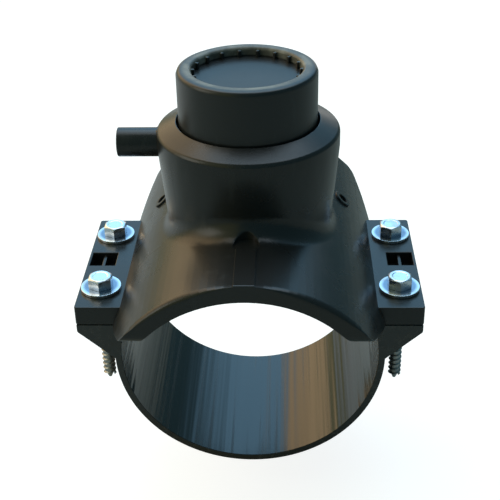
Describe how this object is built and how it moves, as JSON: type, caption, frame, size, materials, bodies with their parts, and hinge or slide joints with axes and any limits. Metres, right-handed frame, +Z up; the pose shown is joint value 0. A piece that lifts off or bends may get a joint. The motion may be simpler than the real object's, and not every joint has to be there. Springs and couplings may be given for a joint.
{
  "type": "electrofusion repair saddle",
  "caption": "Electrofusion repair saddle for a pressure pipe: fusion saddle with tower, screw cap, inner stopper and terminals, drawn down by a screwed under-clamp.",
  "frame": {"origin": "on the pipe's axis, under the middle of the tower", "axes": "+Y along the pipe, +Z up through the tower, -X towards the side terminal"},
  "size_m": [0.152, 0.155, 0.1808],
  "materials": {
    "saddle_plastic": "satin black polyethylene",
    "clamp_plastic": "glossy black polyethylene",
    "cap_plastic": "satin black polyethylene",
    "copper_wire": "bare copper",
    "brass": "turned brass",
    "contact_brass": "bright brass",
    "rubber": "matt rubber",
    "indicator_plastic": "black polyethylene",
    "zinc_screw": "bright zinc plate",
    "zinc_washer": "bright zinc plate"
  },
  "bodies": {
    "saddle": {"saddle_body": "saddle_plastic", "coil_carrier": "saddle_plastic", "heating_coil": "copper_wire", "threaded_bush": "brass", "terminal_pin_side": "contact_brass", "terminal_pin_back": "contact_brass", "screw_washer_1": "zinc_washer", "screw_washer_2": "zinc_washer", "screw_washer_3": "zinc_washer", "screw_washer_4": "zinc_washer"},
    "cap_seat": {"cap_gasket": "rubber"},
    "cap": {"screw_cap": "cap_plastic"},
    "seal": {"stopper_seal": "rubber", "stopper_ring": "rubber"},
    "stopper": {"stopper_plug": "brass"},
    "clamp": {"lower_clamp": "clamp_plastic"},
    "screw_1": {"clamp_screw_1": "zinc_screw"},
    "screw_2": {"clamp_screw_2": "zinc_screw"},
    "screw_3": {"clamp_screw_3": "zinc_screw"},
    "screw_4": {"clamp_screw_4": "zinc_screw"},
    "indicator_left": {"indicator_pin_left": "indicator_plastic"},
    "indicator_right": {"indicator_pin_right": "indicator_plastic"}
  },
  "joints": [
    {"name": "cap_turn", "type": "hinge", "parent": "cap_seat", "child": "cap", "pos_m": [0, 0, 0.1], "axis": [0, 0, 1], "range_deg": [0, 1080]},
    {"name": "cap_lift", "type": "slide", "parent": "saddle", "child": "cap_seat", "axis": [0, 0, 1], "range_m": [0, 0.0121]},
    {"name": "stopper_turn", "type": "hinge", "parent": "seal", "child": "stopper", "pos_m": [0, 0, 0.09], "axis": [0, 0, -1], "range_deg": [0, 1080]},
    {"name": "stopper_advance", "type": "slide", "parent": "saddle", "child": "seal", "axis": [0, 0, -1], "range_m": [0, 0.0061]},
    {"name": "screw_1_turn", "type": "hinge", "parent": "saddle", "child": "screw_1", "pos_m": [-0.0662, -0.0239, 0.0296], "axis": [0, 0, 1], "range_deg": [0, 2881]},
    {"name": "screw_2_turn", "type": "hinge", "parent": "saddle", "child": "screw_2", "pos_m": [0.0662, -0.0239, 0.0296], "axis": [0, 0, 1], "range_deg": [0, 2881]},
    {"name": "screw_3_turn", "type": "hinge", "parent": "saddle", "child": "screw_3", "pos_m": [-0.0662, 0.0239, 0.0296], "axis": [0, 0, 1], "range_deg": [0, 2881]},
    {"name": "screw_4_turn", "type": "hinge", "parent": "saddle", "child": "screw_4", "pos_m": [0.0662, 0.0239, 0.0296], "axis": [0, 0, 1], "range_deg": [0, 2881]},
    {"name": "clamp_drop", "type": "slide", "parent": "saddle", "child": "clamp", "axis": [0, 0, -1], "range_m": [0, 0.02]},
    {"name": "indicator_left_rise", "type": "slide", "parent": "saddle", "child": "indicator_left", "axis": [-0.6871, 0, 0.7266], "range_m": [0, 0.0025]},
    {"name": "indicator_right_rise", "type": "slide", "parent": "saddle", "child": "indicator_right", "axis": [0.6871, 0, 0.7266], "range_m": [0, 0.0025]}
  ],
  "couplings": [
    {"joint": "cap_lift", "follows": "cap_turn", "m_per_rad": 0.00063662},
    {"joint": "stopper_advance", "follows": "stopper_turn", "m_per_rad": 0.00031831},
    {"joint": "screw_1_turn", "follows": "clamp_drop", "rad_per_m": 2513.3},
    {"joint": "screw_2_turn", "follows": "clamp_drop", "rad_per_m": 2513.3},
    {"joint": "screw_3_turn", "follows": "clamp_drop", "rad_per_m": 2513.3},
    {"joint": "screw_4_turn", "follows": "clamp_drop", "rad_per_m": 2513.3}
  ]
}
